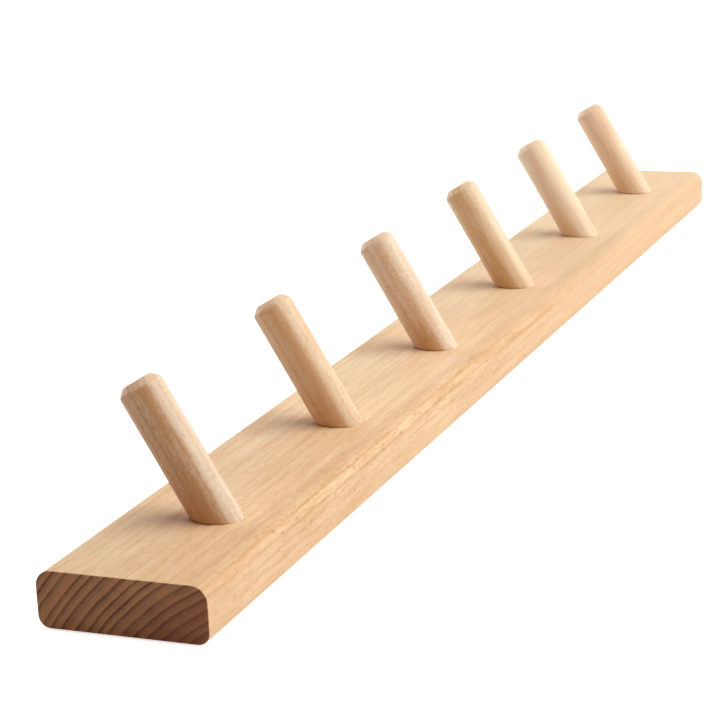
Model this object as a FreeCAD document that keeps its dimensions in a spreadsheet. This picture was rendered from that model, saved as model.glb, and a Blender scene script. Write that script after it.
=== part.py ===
import FreeCAD, Part
import os
from math import cos, pi, sin

import Sketcher
from FreeCAD import Placement, Rotation, Vector

# A wall rack: a beech board with slanted dowel pegs, hung on two flush keyhole plates.
# X runs along the wall, Z is up, the back lies in Y = 0 and the pegs point to -Y.
# The origin is the middle of the back face. Lengths are in mm and angles in degrees.

sizes = {
    "boardHeight": (60, "board, up the wall"),
    "boardThickness": (19.5, "board, back to front"),
    "frontRadius": (5.5, "rounding of the two long front edges"),
    "backRadius": (4.2, "rounding of the two long back edges"),
    "endEase": (0.5, "softening round the sawn ends"),
    "endMargin": (60, "end of the board to the first peg"),
    "pegCount": (6, "pegs in the row"),
    "pegPitch": (110, "peg to peg"),
    "pegDrop": (6, "foot of a peg below the board's middle"),
    "pegTilt": (30, "upward slant of a peg"),
    "pegDiameter": (16, "dowel"),
    "pegReach": (53, "dowel outside the board, along its axis"),
    "tipChamfer": (2.8, "chamfer on a peg's tip"),
    "tipEase": (1.8, "rounding of that chamfer's two edges"),
    "footChamfer": (1, "chamfer on a peg's glued end"),
    "boreBackWall": (3.4, "wood left behind the deepest corner of a bore"),
    "boreClearance": (0.1, "dowel to bore, on the radius"),
    "glueGap": (0.5, "under a peg's glued end"),
    "plateLength": (40, "keyhole plate, up the wall"),
    "plateWidth": (15, "keyhole plate, along the wall"),
    "plateThickness": (1.6, "keyhole plate"),
    "plateEase": (0.25, "rounding of the plate's outer rim, on the side that shows"),
    "plateSink": (0.2, "back face down to the plate"),
    "recessClearance": (0.2, "plate to its recess, all round"),
    "entryDiameter": (9.5, "hole that takes the wall screw's head"),
    "slotWidth": (5, "slot that takes the wall screw's neck"),
    "slotRise": (9, "entry hole to the slot's upper end"),
    "headRoom": (0.75, "entry hole to the hollow behind it, on the radius"),
    "headDepth": (5.2, "hollow behind the plate"),
    "screwInset": (5, "end of a plate to its screw"),
    "screwDiameter": (3, "plate screw's thread"),
    "screwLength": (12, "plate screw, with its head"),
    "screwHead": (5.8, "plate screw's head"),
    "headAngle": (90, "cone under that head"),
    "screwPoint": (2.5, "taper at the screw's end"),
    "screwClearance": (0.1, "screw to plate, on the radius"),
    "pilotClearance": (0.03, "screw to wood, on the radius"),
    "driveSpan": (3, "cross recess, tip to tip"),
    "driveWidth": (0.7, "cross recess, one arm"),
    "driveDepth": (1.1, "cross recess"),
}

boreRadius = "(Sizes.pegDiameter / 2 + Sizes.boreClearance)"
boreRoom = f"(Sizes.boardThickness - Sizes.boreBackWall - {boreRadius} * sin(Sizes.pegTilt))"
boreDepth = f"({boreRoom} / cos(Sizes.pegTilt))"
pegInsert = f"({boreDepth} - Sizes.glueGap)"
boardLength = "(Sizes.pegPitch * (Sizes.pegCount - 1) + Sizes.endMargin * 2)"
plateOffset = "(Sizes.pegPitch * (Sizes.pegCount - 2) / 2)"  # midway between the last two pegs
plateRun = "((Sizes.plateLength - Sizes.plateWidth) / 2)"  # middle to the centre of a round end
screwUp = "(Sizes.plateLength / 2 - Sizes.screwInset)"

hair = 1e-3  # mm: closer than this is the same place

doc = FreeCAD.newDocument("WallHookRack")
sheet = doc.addObject("Spreadsheet::Sheet", "Sizes")
for row, (name, (value, meaning)) in enumerate(sizes.items(), start=1):
    sheet.set(f"A{row}", meaning)
    sheet.set(f"B{row}", str(value))
    sheet.setAlias(f"B{row}", name)
doc.recompute()


def newBody(label):
    body = doc.addObject("PartDesign::Body", label)
    body.Label = label
    return body


def originPlane(body, role):
    return next(feature for feature in body.Origin.OriginFeatures if feature.Role == role)


def newSketch(body, name, support):
    sketch = body.newObject("Sketcher::SketchObject", name)
    sketch.AttachmentSupport = [(support, "")]
    sketch.MapMode = "FlatFace"
    return sketch


def bind(sketch, kind, *parts, size):
    """Add a constraint to the sketch and tie its value to an expression."""
    value = float(sketch.evalExpression(size))
    index = sketch.addConstraint(Sketcher.Constraint(kind, *parts, value))
    sketch.setExpression(f"Constraints[{index}]", size)


def addCircle(sketch, radius, acrossTo, upTo):
    index = sketch.addGeometry(Part.Circle(Vector(0, 0, 0), Vector(0, 0, 1), 1))
    bind(sketch, "Radius", index, size=radius)
    bind(sketch, "DistanceX", -1, 1, index, 3, size=acrossTo)
    bind(sketch, "DistanceY", -1, 1, index, 3, size=upTo)


def addSlot(sketch, radius, acrossTo, lowEnd, highEnd):
    """An upright slot with round ends, from one end's centre up to the other's."""
    start = sketch.GeometryCount
    topEnd, bottomEnd, leftSide, rightSide = range(start, start + 4)
    over, under = Vector(0, 1, 0), Vector(0, -1, 0)
    sketch.addGeometry(Part.ArcOfCircle(Part.Circle(over, Vector(0, 0, 1), 1), 0, pi))
    sketch.addGeometry(Part.ArcOfCircle(Part.Circle(under, Vector(0, 0, 1), 1), pi, 2 * pi))
    sketch.addGeometry(Part.LineSegment(Vector(-1, 1, 0), Vector(-1, -1, 0)))
    sketch.addGeometry(Part.LineSegment(Vector(1, -1, 0), Vector(1, 1, 0)))
    ring = [topEnd, leftSide, bottomEnd, rightSide, topEnd]
    for piece, following in zip(ring, ring[1:]):
        sketch.addConstraint(Sketcher.Constraint("Tangent", piece, 2, following, 1))
    for side in (leftSide, rightSide):
        sketch.addConstraint(Sketcher.Constraint("Vertical", side))
    bind(sketch, "Radius", topEnd, size=radius)
    bind(sketch, "DistanceX", -1, 1, topEnd, 3, size=acrossTo)
    bind(sketch, "DistanceY", -1, 1, topEnd, 3, size=highEnd)
    bind(sketch, "DistanceY", -1, 1, bottomEnd, 3, size=lowEnd)


def addOutline(sketch, corners):
    """Straight sides through a list of corners, each a pair of expressions."""
    first = sketch.GeometryCount
    count = len(corners)
    turns = [2 * pi * index / count for index in range(count)]
    spread = [Vector(cos(turn), sin(turn), 0) for turn in turns]
    for start, end in zip(spread, spread[1:] + spread[:1]):
        sketch.addGeometry(Part.LineSegment(start, end))
    for index, (across, up) in enumerate(corners):
        side, following = first + index, first + (index + 1) % count
        sketch.addConstraint(Sketcher.Constraint("Coincident", side, 2, following, 1))
        bind(sketch, "DistanceX", -1, 1, side, 1, size=across)
        bind(sketch, "DistanceY", -1, 1, side, 1, size=up)


def cut(body, sketch, depth=None, towardsNormal=False):
    """Pocket a sketch to a depth, or right through where none is given, and see that it cuts."""
    doc.recompute()
    before = body.Tip.Shape.Volume
    pocket = body.newObject("PartDesign::Pocket", sketch.Name + "Cut")
    pocket.Profile = sketch
    pocket.Reversed = towardsNormal
    if depth:
        pocket.setExpression("Length", depth)
    else:
        pocket.Type = "ThroughAll"
    doc.recompute()
    if not pocket.Shape.Volume < before:
        raise RuntimeError(f"{pocket.Name} cuts nothing")


def roundEdges(body, kind, name, base, radius, wanted):
    """Fillet or chamfer the edges of a feature that the test picks."""
    doc.recompute()
    names = [f"Edge{i}" for i, edge in enumerate(base.Shape.Edges, start=1) if wanted(edge)]
    feature = body.newObject(f"PartDesign::{kind}", name)
    feature.Base = (base, names)
    feature.setExpression("Radius" if kind == "Fillet" else "Size", radius)
    doc.recompute()
    return feature


def pegAcross(index):
    return f"Sizes.pegPitch * ({index} - (Sizes.pegCount - 1) / 2)"


def makeBoard():
    body = newBody("board")
    section = newSketch(body, "BoardSection", originPlane(body, "YZ_Plane"))
    front, back = "-Sizes.boardThickness", "0"
    low, high = "-Sizes.boardHeight / 2", "Sizes.boardHeight / 2"
    addOutline(section, [(front, low), (back, low), (back, high), (front, high)])
    plank = body.newObject("PartDesign::Pad", "Plank")
    plank.Profile = section
    plank.Midplane = True
    plank.setExpression("Length", boardLength)
    doc.recompute()
    halfLength = plank.Shape.BoundBox.XMax
    frontRounded = roundEdges(
        body, "Fillet", "FrontEdges", plank, "Sizes.frontRadius",
        lambda edge: edge.BoundBox.XLength > halfLength and edge.BoundBox.YMax < -hair,
    )
    rounded = roundEdges(
        body, "Fillet", "BackEdges", frontRounded, "Sizes.backRadius",
        lambda edge: edge.BoundBox.XLength > halfLength and edge.BoundBox.YMin > -hair,
    )
    roundEdges(
        body, "Fillet", "EndEdges", rounded, "Sizes.endEase",
        lambda edge: edge.BoundBox.XLength < hair and abs(edge.BoundBox.XMax) > halfLength - hair,
    )
    makePegBores(body)
    makePlateRecesses(body)


def makePegBores(body):
    """The bores' flat floors share one slanted plane, and each bore runs from it out of the front."""
    floor = body.newObject("PartDesign::Plane", "BoreFloor")
    floor.AttachmentSupport = [(originPlane(body, "XZ_Plane"), "")]
    floor.MapMode = "FlatFace"
    floor.AttachmentOffset = Placement(Vector(0, 0, 0), Rotation(Vector(-1, 0, 0), sizes["pegTilt"][0]))
    floor.setExpression("AttachmentOffset.Rotation.Angle", "Sizes.pegTilt")
    floor.setExpression("AttachmentOffset.Base.y", f"-Sizes.pegDrop - {boreDepth} * sin(Sizes.pegTilt)")
    floor.setExpression(
        "AttachmentOffset.Base.z", f"Sizes.boardThickness - {boreDepth} * cos(Sizes.pegTilt)"
    )
    circles = newSketch(body, "PegBores", floor)
    for index in range(pegCount):
        addCircle(circles, boreRadius, pegAcross(index), "0")
    cut(body, circles, towardsNormal=True)


def makePlateRecesses(body):
    """Behind each plate: its recess, the hollow for the wall screw's head and two pilot holes."""
    back = originPlane(body, "XZ_Plane")
    recesses = newSketch(body, "PlateRecesses", back)
    hollows = newSketch(body, "HeadHollows", back)
    pilots = newSketch(body, "PilotHoles", back)
    recessRadius = "(Sizes.plateWidth / 2 + Sizes.recessClearance)"
    for side in ("-", ""):
        across = side + plateOffset
        addSlot(recesses, recessRadius, across, "-" + plateRun, plateRun)
        addSlot(
            hollows, "Sizes.entryDiameter / 2 + Sizes.headRoom", across,
            "-Sizes.slotRise / 2", "Sizes.slotRise / 2",
        )
        for end in ("-", ""):
            pilotRadius = "Sizes.screwDiameter / 2 + Sizes.pilotClearance"
            addCircle(pilots, pilotRadius, across, end + screwUp)
    recessDepth = "Sizes.plateThickness + Sizes.plateSink"
    cut(body, recesses, recessDepth, towardsNormal=True)
    cut(body, hollows, recessDepth + " + Sizes.headDepth", towardsNormal=True)
    cut(body, pilots, "Sizes.plateSink + Sizes.screwLength", towardsNormal=True)


def makePeg(index):
    body = newBody(f"peg_{index + 1}")
    section = newSketch(body, f"PegSection{index + 1}", originPlane(body, "XY_Plane"))
    addCircle(section, "Sizes.pegDiameter / 2", "0", "0")
    dowel = body.newObject("PartDesign::Pad", f"Dowel{index + 1}")
    dowel.Profile = section
    dowel.setExpression("Length", f"{pegInsert} + Sizes.pegReach")
    doc.recompute()
    tipHeight = dowel.Shape.BoundBox.ZMax
    foot = roundEdges(
        body, "Chamfer", f"FootChamfer{index + 1}", dowel, "Sizes.footChamfer",
        lambda edge: edge.BoundBox.ZMax < hair,
    )
    tip = roundEdges(
        body, "Chamfer", f"TipChamfer{index + 1}", foot, "Sizes.tipChamfer",
        lambda edge: edge.BoundBox.ZMin > tipHeight - hair,
    )
    roundEdges(
        body, "Fillet", f"TipEase{index + 1}", tip, "Sizes.tipEase",
        lambda edge: edge.BoundBox.ZMin > tipHeight / 2 and edge.BoundBox.ZLength < hair,
    )
    body.Placement = Placement(Vector(0, 0, 0), Rotation(Vector(1, 0, 0), 90 - sizes["pegTilt"][0]))
    body.setExpression("Placement.Rotation.Angle", "90 - Sizes.pegTilt")
    body.setExpression("Placement.Base.x", pegAcross(index))
    body.setExpression("Placement.Base.y", f"-Sizes.boardThickness + {pegInsert} * cos(Sizes.pegTilt)")
    body.setExpression("Placement.Base.z", f"-Sizes.pegDrop - {pegInsert} * sin(Sizes.pegTilt)")


def makePlate(label, side):
    body = newBody(label)
    back = originPlane(body, "XZ_Plane")
    outline = newSketch(body, label + "Outline", back)
    addSlot(outline, "Sizes.plateWidth / 2", "0", "-" + plateRun, plateRun)
    plate = body.newObject("PartDesign::Pad", label + "Sheet")
    plate.Profile = outline
    plate.setExpression("Length", "Sizes.plateThickness")
    roundEdges(
        body, "Fillet", label + "Rim", plate, "Sizes.plateEase",
        lambda edge: edge.BoundBox.YMin > -hair,
    )

    entry = newSketch(body, label + "Entry", back)
    addCircle(entry, "Sizes.entryDiameter / 2", "0", "-Sizes.slotRise / 2")
    cut(body, entry, towardsNormal=True)
    slot = newSketch(body, label + "Slot", back)
    addSlot(slot, "Sizes.slotWidth / 2", "0", "-Sizes.slotRise / 2", "Sizes.slotRise / 2")
    cut(body, slot, towardsNormal=True)

    centres = newSketch(body, label + "ScrewCentres", back)
    for end in ("-", ""):
        addCircle(centres, "Sizes.screwDiameter / 2", "0", end + screwUp)
    doc.recompute()
    holes = body.newObject("PartDesign::Hole", label + "ScrewHoles")
    holes.Profile = centres
    holes.Reversed = True
    holes.DepthType = "ThroughAll"
    holes.Threaded = False
    holes.HoleCutType = "Countersink"
    holes.HoleCutCustomValues = True
    holes.setExpression("Diameter", "Sizes.screwDiameter + Sizes.screwClearance * 2")
    holes.setExpression("HoleCutDiameter", "Sizes.screwHead + Sizes.screwClearance * 2")
    holes.setExpression("HoleCutCountersinkAngle", "Sizes.headAngle")
    body.setExpression("Placement.Base.x", side + plateOffset)
    body.setExpression("Placement.Base.y", "-Sizes.plateSink")


def makeScrew(label, side, end):
    body = newBody(label)
    section = newSketch(body, label + "Section", originPlane(body, "XZ_Plane"))
    neck, rim = "Sizes.screwDiameter / 2", "Sizes.screwHead / 2"
    underHead = "-(Sizes.screwHead - Sizes.screwDiameter) / 2 / tan(Sizes.headAngle / 2)"
    taperStart = "-(Sizes.screwLength - Sizes.screwPoint)"
    addOutline(
        section,
        [("0", "0"), ("0", "-Sizes.screwLength"), (neck, taperStart), (neck, underHead), (rim, "0")],
    )
    turned = body.newObject("PartDesign::Revolution", label + "Turned")
    turned.Profile = section
    turned.ReferenceAxis = (section, ["V_Axis"])
    turned.Angle = 360
    doc.recompute()

    recess = newSketch(body, label + "Drive", originPlane(body, "XY_Plane"))
    tip, flank = "Sizes.driveSpan / 2", "Sizes.driveWidth / 2"
    corner = [(tip, flank), (flank, flank), (flank, tip)]
    mirrored = [("-" + across, up) for across, up in reversed(corner)]
    upper = corner + mirrored
    addOutline(recess, upper + [(across, "-" + up) for across, up in reversed(upper)])
    cut(body, recess, "Sizes.driveDepth")
    body.Placement = Placement(Vector(0, 0, 0), Rotation(Vector(1, 0, 0), -90))
    body.setExpression("Placement.Base.x", side + plateOffset)
    body.setExpression("Placement.Base.y", "-Sizes.plateSink")
    body.setExpression("Placement.Base.z", end + screwUp)


pegCount = int(sheet.get("pegCount"))
makeBoard()
for index in range(pegCount):
    makePeg(index)
for sideName, side in (("left", "-"), ("right", "")):
    makePlate(f"hanger_plate_{sideName}", side)
    for endName, end in (("upper", ""), ("lower", "-")):
        makeScrew(f"plate_screw_{sideName}_{endName}", side, end)

bodies = [thing for thing in doc.Objects if thing.TypeId == "PartDesign::Body"]
for body in bodies:
    body.touch()  # a body can otherwise keep the shape it had before its last feature
doc.recompute()
failed = [thing.Name for thing in doc.Objects if {"Invalid", "Error"} & set(thing.State)]
failed += [body.Label for body in bodies if body.Shape.isNull() or not body.Shape.isValid()]
failed += [body.Label for body in bodies if abs(body.Shape.Volume - body.Tip.Shape.Volume) > hair]
if failed:
    raise RuntimeError("failed: " + ", ".join(failed))
os.makedirs("parts", exist_ok=True)
for body in bodies:
    body.Shape.exportStep(f"parts/{body.Label}.step")
    box = body.Shape.BoundBox
    print(f"{body.Label:26} {body.Shape.Volume:10.1f} mm3 {len(body.Shape.Solids)} solid", box)
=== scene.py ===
from functools import partial
from math import cos, radians, sin

import bpy
from mathutils import Euler, Matrix, Vector


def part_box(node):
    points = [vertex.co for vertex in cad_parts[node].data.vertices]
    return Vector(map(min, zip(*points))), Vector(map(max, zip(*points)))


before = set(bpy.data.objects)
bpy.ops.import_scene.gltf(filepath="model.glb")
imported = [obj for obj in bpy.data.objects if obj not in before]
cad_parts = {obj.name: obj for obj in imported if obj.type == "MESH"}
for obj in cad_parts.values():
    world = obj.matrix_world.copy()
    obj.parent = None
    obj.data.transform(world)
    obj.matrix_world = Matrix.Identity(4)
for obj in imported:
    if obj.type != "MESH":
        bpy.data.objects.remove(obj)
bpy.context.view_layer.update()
mm = 0.001
endless = 1e6   # mm, so long that a pattern doesn't change that way


def toLinear(hexColour):
    # sRGB hex to the linear colour that a shader takes
    channels = [int(hexColour[i:i + 2], 16) / 255 for i in (1, 3, 5)]
    return [c / 12.92 if c <= 0.04045 else ((c + 0.055) / 1.055) ** 2.4 for c in channels] + [1.0]


def addNode(tree, kind, inputs=(), **settings):
    # adds a node with its settings and fills its inputs, by name or in order. An input takes a
    # value, a hex colour, a socket, or a node, whose first output in use is then linked
    node = tree.nodes.new("ShaderNode" + kind)
    for name, value in settings.items():
        setattr(node, name, value)
    if isinstance(inputs, dict):
        filled = [(node.inputs[name], value) for name, value in inputs.items()]
    else:
        filled = list(zip([socket for socket in node.inputs if socket.enabled], inputs))
    for socket, value in filled:
        if isinstance(value, bpy.types.Node):
            value = next(output for output in value.outputs if output.enabled)
        if isinstance(value, bpy.types.NodeSocket):
            tree.links.new(value, socket)
        else:
            socket.default_value = toLinear(value) if isinstance(value, str) else value
    return node


def newMaterial(name):
    material = bpy.data.materials.new(name)
    material.use_nodes = True
    material.node_tree.nodes.clear()
    return material, material.node_tree


# Beech, planed and sanded, then oiled: pale tan long grain with a soft satin and
# fine dark flecks along it, and end grain that has drunk the oil and gone brown.
beech = {
    # patterns: mm along the grain, outward from the pith and round it, then detail and roughness
    "wander": ((190.0, 24.0, 24.0), 3.0, 0.55),        # a growth ring leaves its circle
    "crowding": ((endless, 7.0, endless), 1.0, 0.5),   # lean years put the rings closer
    "drift": ((160.0, 9.0, 9.0), 2.0, 0.5),            # slow changes of tone
    "blush": ((34.0, 5.0, 5.0), 2.0, 0.6),             # rosier and yellower patches
    "streakWave": ((24.0, 6.0, 6.0), 2.0, 0.5),        # a dark streak's wavy edge
    "pores": ((endless, 0.8, 0.8), 3.0, 0.7),          # coarser than the real 0.07 mm, to show
    "fibreDetail": (4.0, 0.66), "mottleDetail": (3.0, 0.65),
    "wanderDepth": 2.4, "crowdingDepth": 3.2,   # mm
    "blushEdge": (0.4, 0.65), "streakWaver": 0.3,
    # seasons, in shares of a year's growth: where each starts, is full, is still full, ends
    "lateWood": (0.55, 0.86, 0.88, 1.0), "faintYear": 0.55,
    "dryMonth": (0.3, 0.46, 0.46, 0.56), "dryYears": (0.3, 1.0), "dryDepth": 0.45,
    "summer": (0.1, 0.8, 0.95, 1.0),
    # ray flecks, mm along, outward and round: wider than the real 0.2 mm, to show
    "fleck": (4.5, 1.6, 0.5), "fleckEdge": (0.1, 0.42), "fleckless": 0.3,
    # tones from 0, the pale colour, to 1, the deep one
    "middleTone": 0.4, "endTone": 0.255, "endRing": 0.6, "endSummer": 0.42, "endDrift": 0.5,
    "endTurn": (0.2, 0.6),   # how squarely a surface cuts the grain before it shows end grain
    "fibreRelief": 0.05,     # mm
    "fleckRelief": 0.5,
    "satin": (0.3, 0.7), "roughness": (0.46, 0.6),   # from smooth fibre to open fibre
    "ior": 1.5, "specular": 0.25,   # dried oil, with the gloss broken by open pores
}


def beechMaterial(name, look):
    material, tree = newMaterial(name)
    add = partial(addNode, tree)
    soft = {"interpolation_type": "SMOOTHSTEP"}

    # a point's place in the tree: mm along the trunk, outward from the pith and round it
    place = add("TexCoord")
    turn = Euler([radians(angle) for angle in look["turn"]])
    local = add("Mapping", {
        "Vector": place.outputs["Object"], "Location": look["middle"],
        "Rotation": turn, "Scale": (mm, mm, mm),
    }, vector_type="TEXTURE")
    fromPith = add("VectorMath", [local, (look["shift"], *look["pith"])], operation="SUBTRACT")
    along, across, up = add("SeparateXYZ", [fromPith]).outputs
    outward = add("VectorMath", [add("CombineXYZ", {"Y": across, "Z": up})], operation="LENGTH")
    toMiddle = Vector(look["pith"]).length
    bearing = add("Math", [up, across], operation="ARCTAN2")
    around = add("Math", [bearing, toMiddle], operation="MULTIPLY")
    inTree = add("CombineXYZ", [along, outward, around])

    def streaks(size, detail, roughness):
        # cloudy pattern drawn out along the grain
        steps = add("VectorMath", [inTree, size], operation="DIVIDE")
        return add("TexNoise", {
            "Vector": steps, "Scale": 1.0, "Detail": detail, "Roughness": roughness,
        })

    def swing(pattern, depth):
        # the same pattern, up and down by half the depth
        level = add("Math", [pattern, 0.5], operation="SUBTRACT")
        return add("Math", [level, depth], operation="MULTIPLY")

    def within(value, start, full, last, end):
        # rises from start to full, falls from last to end
        rise = add("MapRange", [value, start, full], **soft)
        fall = add("MapRange", [value, last, end, 1.0, 0.0], **soft)
        return add("Math", [rise, fall], operation="MULTIPLY")

    # growth rings: dark late wood comes on slowly and stops short
    wander = swing(streaks(*beech["wander"]), beech["wanderDepth"])
    crowding = swing(streaks(*beech["crowding"]), beech["crowdingDepth"])
    shifted = add("Math", [wander, crowding], operation="ADD")
    grown = add("Math", [outward, shifted], operation="ADD")
    sinceFirst = add("Math", [grown, look["firstRing"]], operation="SUBTRACT")
    age = add("Math", [sinceFirst, look["ringsPerMm"]], operation="MULTIPLY")
    season = add("Math", [age], operation="FRACT")
    birthday = add("Math", [age], operation="FLOOR")
    year = add("TexWhiteNoise", {"W": birthday}, noise_dimensions="1D")
    yearDepth = add("MapRange", [year, 0.0, 1.0, beech["faintYear"], 1.0])
    lateWood = add("Math", [within(season, *beech["lateWood"]), yearDepth], operation="MULTIPLY")
    drought = add("SeparateColor", [year.outputs["Color"]]).outputs["Green"]
    dryness = add("MapRange", [drought, *beech["dryYears"], 0.0, beech["dryDepth"]])
    falseRing = add("Math", [within(season, *beech["dryMonth"]), dryness], operation="MULTIPLY")
    summer = within(season, *beech["summer"])

    drift = streaks(*beech["drift"])
    blush = streaks(*beech["blush"])
    fibre = streaks(look["fibre"], *beech["fibreDetail"])
    mottle = streaks(look["mottle"], *beech["mottleDetail"])
    raySteps = add("VectorMath", [inTree, beech["fleck"]], operation="DIVIDE")
    rays = add("TexVoronoi", {"Vector": raySteps, "Scale": 1.0})
    rayBody = add("MapRange", [rays, *beech["fleckEdge"], 1.0, 0.0], **soft)
    rayKind = add("SeparateColor", [rays.outputs["Color"]])
    rayDepth = add("MapRange", [rayKind, beech["fleckless"], 1.0])
    fleck = add("Math", [rayBody, rayDepth], operation="MULTIPLY")

    # some years' rings, or some of the length, are deeper or grainier than the rest, and some are
    # evenly darkened as painted shade
    ringPath = add("Math", [outward, wander], operation="ADD")
    effects = {"deeper": [], "paintedShade": [], "grainier": []}
    for patch in look.get("patches", ()):
        rings = within(ringPath, *patch["rings"])
        where = add("Math", [rings, within(along, *patch["along"])], operation="MULTIPLY")
        for effect, share in patch["by"].items():
            effects[effect].append(add("Math", [where, share], operation="MULTIPLY"))

    figure = add("Math", [
        swing(fibre, look["fibreDepth"]), swing(mottle, look["mottleDepth"]),
    ], operation="ADD")
    ringFigure = add("Math", [lateWood, look["ringDepth"]], operation="MULTIPLY")
    figure = add("Math", [figure, ringFigure], operation="ADD")
    if "calmEnd" in look:
        # the figure is livelier at one end of the board than at the other, and on its front
        start, end, share = look["calmEnd"]
        lively = add("MapRange", [along, start, end, 1.0, share])
        sideShare = add("MapRange", [along, start, end, *look["calmSideShares"]])
        onSide = add("MapRange", [outward, *look["calmSide"], sideShare, 1.0], **soft)
        lively = add("Math", [lively, onSide], operation="MULTIPLY")
        for grainier in effects["grainier"]:
            lively = add("Math", [lively, grainier], operation="ADD")
        figure = add("Math", [figure, lively], operation="MULTIPLY")
        fleck = add("Math", [fleck, lively], operation="MULTIPLY")

    def facing(side):
        # 1 along one side of a dowel, -1 along the opposite one
        angle = radians(side - look["spin"])
        direction = Vector((0, cos(angle), sin(angle))) / look["radius"]
        return add("VectorMath", [local, direction], operation="DOT_PRODUCT")

    def atFoot(height):
        # 1 where a dowel leaves the board, gone at this height
        outOfWall = add("SeparateXYZ", [place.outputs["Object"]]).outputs["Y"]
        return add("MapRange", [outOfWall, look["front"] - height * mm, look["front"]], **soft)

    darker = effects["deeper"]
    if "foot" in look:
        # painted shade: one side of a dowel's foot, where it leaves the board, is darker
        side, depth, height = look["foot"]
        shadedSide = add("MapRange", [facing(side), *look["footEdge"], 0.0, depth], **soft)
        darker.append(add("Math", [atFoot(height), shadedSide], operation="MULTIPLY"))
    if "streakAndShade" in look:
        # a dark streak down the edge of a dowel's shaded side, darker in its middle: part wood
        # streak, part painted core shade
        side, depth = look["streakAndShade"]
        waver = swing(streaks(*beech["streakWave"]), beech["streakWaver"])
        wavy = add("Math", [facing(side), waver], operation="ADD")
        for edge in look["streakEdges"]:
            darker.append(add("MapRange", [wavy, *edge, 0.0, depth], **soft))

    # long grain, deeper in tone towards the heart of the tree. On the dowels this deepening is
    # turned to one side as painted shade: onto the shaded side of dowels 1 and 6, and onto the lit
    # side of dowel 5, which evens out its shading.
    inward = add("Math", [toMiddle, outward], operation="SUBTRACT")
    heartAndShade = add("Math", [inward, look["heartAndShadePerMm"]], operation="MULTIPLY")
    tone = add("Math", [beech["middleTone"], heartAndShade], operation="ADD")
    for change in (swing(drift, look["driftDepth"]), figure, *darker):
        tone = add("Math", [tone, change], operation="ADD")
    tone = add("Clamp", [tone])
    longGrain = add("Mix", [tone, look["pale"], look["deep"]], data_type="RGBA")
    if "heartwood" in look:
        heartwood = add("MapRange", [outward, *look["heartwood"], 1.0, 0.0], **soft)
        heartGrain = add("Mix", [tone, look["heartPale"], look["heartDeep"]], data_type="RGBA")
        longGrain = add("Mix", [heartwood, longGrain, heartGrain], data_type="RGBA")
    if "paleEnd" in look:
        start, end, share = look["paleEnd"]
        fading = add("MapRange", [along, start, end, 0.0, share], **soft)
        onFront = add("MapRange", [outward, *look["paleRings"]], **soft)
        fading = add("Math", [fading, onFront], operation="MULTIPLY")
        longGrain = add("Mix", [fading, longGrain, look["paleEndTone"]], data_type="RGBA")
    # painted shade: an even darkening along the front's lower edge, where the rounding starts, and
    # on two stretches of the front
    for paintedShade in effects["paintedShade"]:
        longGrain = add("Mix", [paintedShade, longGrain, look["paintedShadeTone"]], data_type="RGBA")
    rosy = add("MapRange", [blush, *beech["blushEdge"], 0.0, look["blushDepth"]], **soft)
    longGrain = add("Mix", [rosy, longGrain, look["rosy"]], data_type="RGBA")
    flecked = add("Math", [fleck, look["fleckDepth"]], operation="MULTIPLY")
    longGrain = add("Mix", [flecked, longGrain, look["fleckTone"]], data_type="RGBA")

    # end grain, on the sawn face and the edge that is eased round it
    endward = add("VectorMath", [
        place.outputs["Normal"], turn.to_matrix() @ Vector((1, 0, 0)),
    ], operation="DOT_PRODUCT")
    sawn = add("Math", [endward], operation="ABSOLUTE")
    sawn = add("MapRange", [sawn, *beech["endTurn"], 0.0, look["endShare"]], **soft)
    darkRings = add("Math", [lateWood, falseRing], operation="MAXIMUM")
    darkRings = add("Math", [darkRings, beech["endRing"]], operation="MULTIPLY")
    softRings = add("Math", [summer, beech["endSummer"]], operation="MULTIPLY")
    rings = add("Math", [darkRings, softRings], operation="ADD")
    endTone = add("Math", [rings, look["endRings"]], operation="MULTIPLY")
    endTone = add("Math", [beech["endTone"], endTone], operation="ADD")
    pores = swing(streaks(*beech["pores"]), look["poreDepth"])
    for change in (pores, swing(drift, beech["endDrift"])):
        endTone = add("Math", [endTone, change], operation="ADD")
    endTone = add("Clamp", [endTone])
    endGrain = add("Mix", [endTone, look["endPale"], look["endDeep"]], data_type="RGBA")
    if "endRed" in look:
        redness = add("MapRange", [outward, *look["redRings"], look["redShare"], 0.0], **soft)
        endGrain = add("Mix", [redness, endGrain, look["endRed"]], data_type="RGBA")
    colour = add("Mix", [sawn, longGrain, endGrain], data_type="RGBA")

    if "jointShadeLine" in look:
        # painted contact shade: a thin, patchy dark line where the dowel leaves the board,
        # strongest on the side it leans to, its shaded side
        height, side = look["jointShadeLine"]
        patchy = add("MapRange", [fibre, *look["jointShadeUneven"]], **soft)
        contactShade = add("Math", [atFoot(height), patchy], operation="MULTIPLY")
        towardShade = add("MapRange", [facing(side), *look["jointShadeEdge"]], **soft)
        contactShade = add("Math", [contactShade, towardShade], operation="MULTIPLY")
        colour = add("Mix", [contactShade, colour, look["jointShadeTone"]], data_type="RGBA")

    raised = add("Math", [fibre, mottle], operation="ADD")
    sunk = add("Math", [fleck, beech["fleckRelief"]], operation="MULTIPLY")
    relief = add("Math", [raised, sunk], operation="SUBTRACT")
    bump = add("Bump", {"Height": relief, "Distance": beech["fibreRelief"] * mm})
    roughness = add("MapRange", [fibre, *beech["satin"], *beech["roughness"]])
    shader = add("BsdfPrincipled", {
        "Base Color": colour, "Normal": bump, "Roughness": roughness,
        "IOR": beech["ior"], "Specular IOR Level": beech["specular"],
    })
    add("OutputMaterial", {"Surface": shader})
    return material


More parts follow.
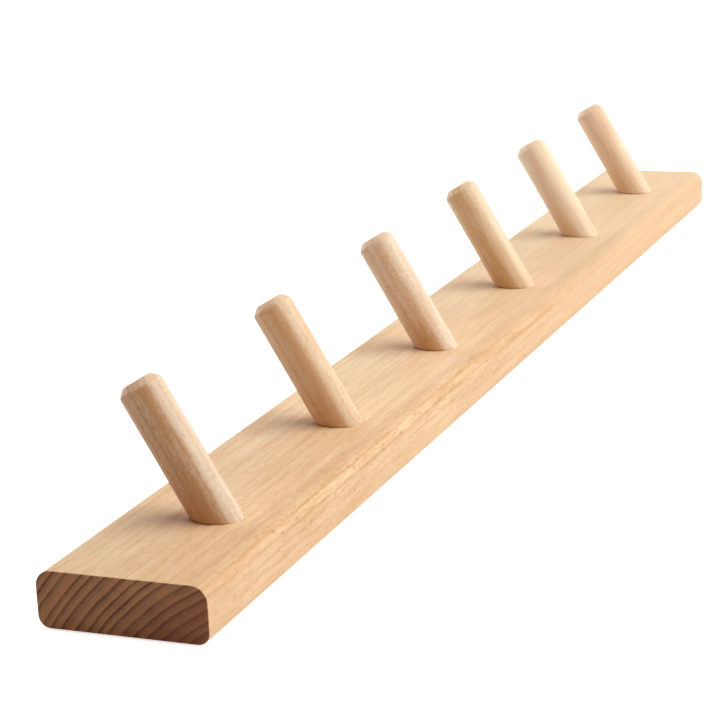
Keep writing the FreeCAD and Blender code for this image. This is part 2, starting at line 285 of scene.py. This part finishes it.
board = {
    "middle": (0, 0, 0), "turn": (0, 0, 0), "shift": 0.0,
    "pith": (65.0, -73.0),      # mm behind the back and below the middle
    "firstRing": 82.2,          # mm from the pith
    "ringsPerMm": 0.305, "heartAndShadePerMm": 0.0,
    "pale": "#DEC099", "deep": "#C79D70", "rosy": "#DCAE87", "fleckTone": "#A37043",
    "fibre": (30.0, 3.0, 3.0),  # mm, streaks that split into finer ones: real fibres are
                                # 1 mm by 0.02 mm, so these are coarser, to show
    "mottle": (4.0, 1.1, 1.1),  # mm, short dashes where the fibres dip under the surface,
                                # wider than the real 0.1 mm, to show
    "fibreDepth": 1.6, "mottleDepth": 0.9, "ringDepth": 0.28, "driftDepth": 0.65,
    "blushDepth": 0.3, "fleckDepth": 0.4,
    "calmEnd": (-200.0, 300.0, 0.5),    # mm along, from lively to calm, and the share left
    "calmSide": (88.0, 98.0),           # mm from the pith, calm to lively
    "calmSideShares": (0.9, 0.35),      # what is left on the calm side, at either end
    "heartwood": (92.0, 124.0),         # mm from the pith, warm to pale
    "heartPale": "#E8C49A", "heartDeep": "#CF9D69",
    "paleEnd": (-150.0, 200.0, 0.42),   # mm along, where it starts and is full, and its share
    "paleRings": (91.0, 96.0), "paleEndTone": "#D4BD9C",   # mm from the pith
    # the colour that the painted shade mixes in
    "paintedShadeTone": "#896F55",
    "patches": [   # mm from the pith and mm along: where each starts, is full, is still full, ends
        {"rings": (93.5, 96.5, 97.0, 101.5), "along": (-400.0, -390.0, 0.0, 450.0),
         "by": {"deeper": 0.12, "paintedShade": 0.07}},
        {"rings": (89.5, 92.0, 97.5, 100.0), "along": (-170.0, -90.0, 120.0, 260.0),
         "by": {"deeper": 0.2}},
        {"rings": (82.0, 88.0, 95.0, 98.0), "along": (-330.0, -280.0, -60.0, 60.0),
         "by": {"grainier": 0.55}},
        {"rings": (60.0, 61.0, 89.0, 93.0), "along": (-400.0, -390.0, -150.0, 50.0),
         "by": {"deeper": -0.12}},
        {"rings": (90.0, 95.0, 140.0, 141.0), "along": (-175.0, -135.0, -90.0, -45.0),
         "by": {"deeper": -0.27}},
        {"rings": (90.0, 95.0, 140.0, 141.0), "along": (50.0, 85.0, 145.0, 190.0),
         "by": {"paintedShade": 0.07}},
        {"rings": (91.0, 95.0, 140.0, 141.0), "along": (-400.0, -390.0, -320.0, -270.0),
         "by": {"deeper": 0.03, "paintedShade": 0.06}},
    ],
    "endShare": 1.0, "endPale": "#BE875B", "endDeep": "#48260F",
    "endRings": 0.61, "poreDepth": 0.78,
    "endRed": "#793B22", "redRings": (88.0, 104.0), "redShare": 0.5,   # mm from the pith, share
}
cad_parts["board"].data.materials[0] = beechMaterial("beechBoardOiled", board)
print("board: oiled beech")

# Each dowel comes from another stick, so its colour, its rings and their direction are its own.
pegs = {
    "tilt": 30.0,       # degrees
    "apart": 300.0,     # mm along the trunk between two sticks, so that no two share their grain
    "grain": {
        "firstRing": 0.0, "ringsPerMm": 0.33, "rosy": "#DDAA86", "fleckTone": "#946038",
        # mm, shorter than the board's, because a dowel cutter runs round across the fibres
        "fibre": (22.0, 2.6, 2.6), "mottle": (1.6, 0.85, 0.85),
        "driftDepth": 0.7, "blushDepth": 0.3, "fleckDepth": 0.3,
        "endShare": 0.5, "endPale": "#E8C6A8", "endDeep": "#B8875F",
        "endRings": 0.3, "poreDepth": 1.2,
        # edges of marks round a dowel: 1 is the mark's own side, 0 a quarter turn from it
        "footEdge": (0.8, 1.0), "streakEdges": ((0.88, 1.0), (0.98, 1.03)), "jointShadeEdge": (-0.75, 0.0),
        # painted contact shade along the joint at the dowel's foot
        "jointShadeLine": (0.9, 110.0),   # mm high, degrees round the dowel where it is strongest
        "jointShadeUneven": (0.35, 0.6, 0.35, 0.85), "jointShadeTone": "#9A683E",
    },
    # spin: degrees that the stick is turned. streak: a dark band down the edge of the dowel's
    # shaded side, part wood streak and part painted shade: its side in degrees, and its depth of
    # tone.
    # foot: painted shade on the dowel's shaded side where it leaves the board: that side in
    # degrees, its depth of tone, and its height in mm
    # each stick's pith and spin also turn its heart's deeper tone to one side, as painted shade
    "sticks": [
        {"pale": "#E9D2B6", "deep": "#C4976C", "spin": 90, "pith": (26.0, 14.0),
         "fibreDepth": 0.5, "mottleDepth": 1.15, "ringDepth": 0.3, "heartAndShadePerMm": 0.04,
         "streakAndShade": (211, 0.4), "foot": (197, 0.4, 24.0)},
        {"pale": "#F2DAB9", "deep": "#D7AB7B", "spin": 140, "pith": (17.0, 22.0),
         "fibreDepth": 0.45, "mottleDepth": 1.2, "ringDepth": 0.25, "heartAndShadePerMm": 0.0,
         "streakAndShade": (204, 0.35), "foot": (192, 0.45, 20.0)},
        {"pale": "#FEF0DA", "deep": "#D7A878", "spin": 250, "pith": (34.0, 6.0),
         "fibreDepth": 0.5, "mottleDepth": 0.9, "ringDepth": 0.2, "heartAndShadePerMm": 0.0,
         "streakAndShade": (203, 0.12), "foot": (192, 0.45, 22.0)},
        {"pale": "#F8E3C4", "deep": "#D0A062", "spin": 75, "pith": (22.0, 12.0),
         "fibreDepth": 0.5, "mottleDepth": 0.4, "ringDepth": 0.15, "heartAndShadePerMm": 0.0,
         "fleckDepth": 0.15, "streakAndShade": (194, 0.15), "foot": (175, 0.25, 18.0)},
        {"pale": "#F5E1C5", "deep": "#F0CC9E", "spin": 315, "pith": (40.0, 9.0),
         "fibreDepth": 0.6, "mottleDepth": 0.5, "ringDepth": 0.15, "heartAndShadePerMm": 0.038,
         "fleckDepth": 0.1, "endShare": 0.3},
        {"pale": "#FBEDD4", "deep": "#DFA977", "spin": 110, "pith": (19.0, 16.0),
         "fibreDepth": 0.6, "mottleDepth": 0.5, "ringDepth": 0.15, "heartAndShadePerMm": 0.02,
         "fleckDepth": 0.1, "endShare": 0.3},
    ],
}
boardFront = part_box("board")[0].y
for number, stick in enumerate(pegs["sticks"], start=1):
    node = f"peg_{number}"
    low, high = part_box(node)
    look = {
        **pegs["grain"], **stick,
        "middle": (low + high) / 2,
        "turn": (stick["spin"], -pegs["tilt"], -90),   # lays the grain along the dowel
        "shift": pegs["apart"] * number,
        "radius": (high.x - low.x) / 2 / mm,
        "front": boardFront,
    }
    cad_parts[node].data.materials[0] = beechMaterial(f"beechDowelOiled{number}", look)
print("pegs: six oiled beech dowels")


# Mild steel, pressed and bright zinc plated: a soft grey mirror with faint cloudy patches.
# The screws are plated in bulk and waxed, which leaves them darker and duller than the plates.
zincPlated = {
    # cloud: mm across a cloudy patch
    "plate": {"tone": "#C3C6C8", "toneCloudy": "#A9ADB1", "cloud": 2.5, "roughness": (0.24, 0.42)},
    "screw": {"tone": "#8C8C8B", "toneCloudy": "#737372", "cloud": 1.2, "roughness": (0.3, 0.5)},
    "cloudDetail": 3.0,
}


def zincMaterial(name, look):
    material, tree = newMaterial(name)
    place = addNode(tree, "TexCoord")
    cloud = addNode(tree, "TexNoise", {
        "Vector": place.outputs["Object"], "Scale": 1 / (look["cloud"] * mm),
        "Detail": zincPlated["cloudDetail"],
    })
    tone = addNode(tree, "Mix", [cloud, look["tone"], look["toneCloudy"]], data_type="RGBA")
    roughness = addNode(tree, "MapRange", [cloud, 0.0, 1.0, *look["roughness"]])
    shader = addNode(tree, "BsdfPrincipled", {
        "Base Color": tone, "Metallic": 1.0, "Roughness": roughness,
    })
    addNode(tree, "OutputMaterial", {"Surface": shader})
    return material


plateSteel = zincMaterial("steelPlateZincBright", zincPlated["plate"])
screwSteel = zincMaterial("steelScrewZincDull", zincPlated["screw"])
for node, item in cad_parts.items():
    if node.startswith("hanger_plate"):
        item.data.materials[0] = plateSteel
    elif node.startswith("plate_screw"):
        item.data.materials[0] = screwSteel
print("hanger plates and their screws: zinc plated steel")


# A pale panel behind the rack stands for the wall. It shows from the front only and is open
# just behind the board, so the rack's back can be seen and lit too.
wall = {
    "size": 12.0,            # m
    "gap": 0.3,              # mm behind the board
    "overlap": 3.0,          # mm that the board laps over the opening
    "tone": "#F7F7F7",
    # light of its own near the rack and far from it, so that it stays pale past the lamps' reach
    "lift": (0.7, 1.0), "liftRun": (0.5, 2.5),   # liftRun in m
}


def makeWall():
    far = wall["size"] / 2
    low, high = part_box("board")
    y = wall["gap"] * mm
    lap = wall["overlap"] * mm
    outer = [(-far, y, -far), (far, y, -far), (far, y, far), (-far, y, far)]
    left, right, bottom, top = low.x + lap, high.x - lap, low.z + lap, high.z - lap
    opening = [(left, y, bottom), (right, y, bottom), (right, y, top), (left, y, top)]
    sides = [(i, (i + 1) % 4, 4 + (i + 1) % 4, 4 + i) for i in range(4)]
    mesh = bpy.data.meshes.new("wall_panel")
    mesh.from_pydata(outer + opening, [], sides)
    panel = bpy.data.objects.new("wall_panel", mesh)
    bpy.context.scene.collection.objects.link(panel)

    material, tree = newMaterial("wallPaintMatt")
    paint = addNode(tree, "BsdfDiffuse", {"Color": wall["tone"]})
    place = addNode(tree, "TexCoord")
    away = addNode(tree, "VectorMath", [place.outputs["Object"]], operation="LENGTH")
    glow = addNode(tree, "MapRange", [away, *wall["liftRun"], *wall["lift"]])
    seen = addNode(tree, "LightPath").outputs["Is Camera Ray"]
    lift = addNode(tree, "Math", [seen, glow], operation="MULTIPLY")
    light = addNode(tree, "Emission", {"Strength": lift})
    lifted = addNode(tree, "AddShader", [paint, light])
    clear = addNode(tree, "BsdfTransparent")
    behind = addNode(tree, "NewGeometry").outputs["Backfacing"]
    shown = addNode(tree, "MixShader", [behind, lifted, clear])
    addNode(tree, "OutputMaterial", {"Surface": shown})
    mesh.materials.append(material)


makeWall()

lights = {
    "tint": "#EEFAFF",
    "lamps": {   # place and size in m
        "key": {"at": (0.6, -0.8, -1.9), "size": 1.3, "watts": 18.0},
        "keyFar": {"at": (1.4, -0.8, -1.5), "size": 1.3, "watts": 11.0},
        "below": {"at": (-0.4, -0.2, -1.4), "size": 0.6, "watts": 4.3},
        "front": {"at": (0.3, -2.6, 0.0), "size": 2.0, "watts": 65.5},
        "above": {"at": (0.5, -0.35, 1.2), "size": 0.6, "watts": 7.0},
        "farEnd": {"at": (1.5, -0.9, 0.5), "size": 0.8, "watts": 3.0},
        "behind": {"at": (0.6, 2.4, 1.4), "size": 2.0, "watts": 50.0},
        "behindLow": {"at": (-0.3, 2.4, -1.0), "size": 1.5, "watts": 14.0},
    },
}
for name, light in lights["lamps"].items():
    lamp = bpy.data.lights.new(name + "Softbox", "AREA")
    lamp.size = light["size"]
    lamp.energy = light["watts"]
    lamp.color = toLinear(lights["tint"])[:3]
    holder = bpy.data.objects.new(name + "Softbox", lamp)
    holder.location = light["at"]
    holder.rotation_euler = (-Vector(light["at"])).to_track_quat("-Z", "Y").to_euler()
    bpy.context.scene.collection.objects.link(holder)

# The room looks pale, lights the wood with a weak warm glow and shows neutral in the steel.
room = {
    "seen": "#FFFFFF", "glow": "#FFAA72", "glowStrength": 0.18,
    "mirrored": "#FFFFFF", "mirroredStrength": 0.74,
}
world = bpy.data.worlds.new("paleRoom")
world.use_nodes = True
tree = world.node_tree
tree.nodes.clear()
ray = addNode(tree, "LightPath")
seen = addNode(tree, "Background", {"Color": room["seen"]})
glow = addNode(tree, "Background", {"Color": room["glow"], "Strength": room["glowStrength"]})
mirrored = addNode(tree, "Background", {
    "Color": room["mirrored"], "Strength": room["mirroredStrength"],
})
lit = addNode(tree, "MixShader", [ray.outputs["Is Glossy Ray"], glow, mirrored])
either = addNode(tree, "MixShader", [ray.outputs["Is Camera Ray"], lit, seen])
addNode(tree, "OutputWorld", {"Surface": either})
bpy.context.scene.world = world
bpy.context.scene.view_settings.view_transform = "Standard"
print("wall, lights and room")

# The camera looks along the rack from its left end, tipped so that the wall lies below it.
camera = {
    "lens": 112.2, "sensor": 36.0,   # mm
    "at": (-0.9125, -0.2676, -0.3173),
    "aim": (-0.0201, -0.0009, 0.0430),
    "roll": 2.635,                   # degrees
    "farClip": 50.0,                 # m
}
data = bpy.data.cameras.new("camera")
data.lens = camera["lens"]
data.sensor_width = camera["sensor"]
data.clip_end = camera["farClip"]
eye = bpy.data.objects.new("camera", data)
bpy.context.scene.collection.objects.link(eye)
forward = (Vector(camera["aim"]) - Vector(camera["at"])).normalized()
outOfWall = Vector((0, -1, 0))
right = forward.cross(outOfWall).normalized()
upward = right.cross(forward)
axes = Matrix((right, upward, -forward)).transposed()
eye.rotation_euler = (Matrix.Rotation(radians(camera["roll"]), 3, forward) @ axes).to_euler()
eye.location = camera["at"]
bpy.context.scene.camera = eye
print("camera")
